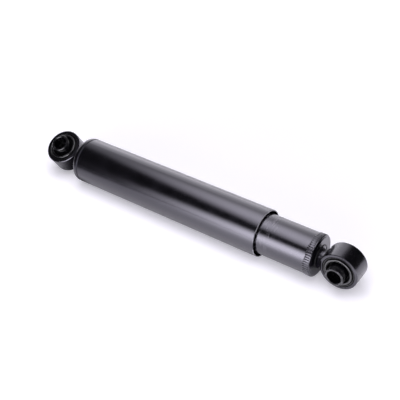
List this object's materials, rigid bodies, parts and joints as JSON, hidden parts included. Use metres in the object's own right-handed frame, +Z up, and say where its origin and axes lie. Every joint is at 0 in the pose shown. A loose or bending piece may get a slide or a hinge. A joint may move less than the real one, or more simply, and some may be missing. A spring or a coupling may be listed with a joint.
{
  "type": "shock absorber",
  "caption": "Twin-tube hydraulic shock absorber with a rubber-bushed eye at each end, a dust tube over the rod side and a sliding, turning rod; damps the travel of a vehicle axle.",
  "frame": {"origin": "centre of the lower eye's bolt bore, on the shock absorber's axis", "axes": "+X along the axis from the lower eye to the upper eye, +Y along the lower bolt bore, +Z up as it lies in the picture"},
  "size_m": [0.6445, 0.082, 0.082],
  "materials": {
    "black_paint": "satin black paint over steel",
    "bush_rubber": "black rubber, lightly painted over",
    "sleeve_paint": "satin black paint over a cut steel sleeve",
    "rod_chrome": "ground and hard-chromed",
    "tube_steel": "drawn steel, honed inside",
    "valve_steel": "hardened strip steel",
    "sintered_iron": "sintered iron, steam treated",
    "guide_alloy": "die cast",
    "bush_bronze": "bronze-backed lined bush",
    "band_plastic": "filled fluoropolymer",
    "seal_rubber": "nitrile rubber",
    "bumper_plastic": "cast polyurethane"
  },
  "bodies": {
    "cylinder": {"reserve_tube": "black_paint", "base_cap": "black_paint", "lower_eye": "black_paint", "lower_bush": "bush_rubber", "pressure_tube": "tube_steel", "foot_valve_body": "sintered_iron", "foot_rivet": "valve_steel", "foot_washer": "valve_steel", "foot_disc_1": "valve_steel", "foot_disc_2": "valve_steel", "foot_disc_3": "valve_steel", "foot_check_spring": "valve_steel", "foot_keeper": "valve_steel", "rod_guide": "guide_alloy", "guide_bush": "bush_bronze", "rod_seal": "seal_rubber", "seal_spring": "valve_steel", "guide_ring": "seal_rubber", "closing_cover": "tube_steel"},
    "piston_ring": {"piston_band": "band_plastic"},
    "rod": {"piston_rod": "rod_chrome", "piston": "sintered_iron", "piston_nut": "valve_steel", "rebound_washer": "valve_steel", "rebound_disc_1": "valve_steel", "rebound_disc_2": "valve_steel", "rebound_disc_3": "valve_steel", "piston_check_spring": "valve_steel", "piston_keeper": "valve_steel", "rebound_stop": "valve_steel", "rebound_bumper": "bumper_plastic", "dust_tube": "black_paint", "dust_cap": "black_paint", "upper_eye": "black_paint", "upper_bush": "bush_rubber"},
    "lower_bolt_sleeve": {"lower_sleeve": "sleeve_paint"},
    "upper_bolt_sleeve": {"upper_sleeve": "sleeve_paint"},
    "foot_check": {"foot_check_plate": "valve_steel"},
    "piston_check": {"piston_check_plate": "valve_steel"}
  },
  "joints": [
    {"name": "rod_slide", "type": "slide", "parent": "cylinder", "child": "piston_ring", "axis": [1, 0, 0], "range_m": [-0.081, 0.194]},
    {"name": "rod_turn", "type": "hinge", "parent": "piston_ring", "child": "rod", "pos_m": [0.2, 0, 0], "axis": [1, 0, 0], "continuous": true},
    {"name": "lower_sleeve_twist", "type": "hinge", "parent": "cylinder", "child": "lower_bolt_sleeve", "pos_m": [0, 0, 0], "axis": [0, 1, 0], "range_deg": [-15, 15], "stiffness_Nm_per_rad": 40},
    {"name": "upper_sleeve_twist", "type": "hinge", "parent": "rod", "child": "upper_bolt_sleeve", "pos_m": [0.57905, 0, 0], "axis": [0, 0.5, 0.866], "range_deg": [-15, 15], "stiffness_Nm_per_rad": 40},
    {"name": "foot_check_lift", "type": "slide", "parent": "cylinder", "child": "foot_check", "axis": [1, 0, 0], "range_m": [0, 0.0015], "stiffness_N_per_m": 300, "deforming": ["foot_check_spring"]},
    {"name": "piston_check_lift", "type": "slide", "parent": "rod", "child": "piston_check", "axis": [1, 0, 0], "range_m": [0, 0.0015], "stiffness_N_per_m": 300, "deforming": ["piston_check_spring"]}
  ]
}
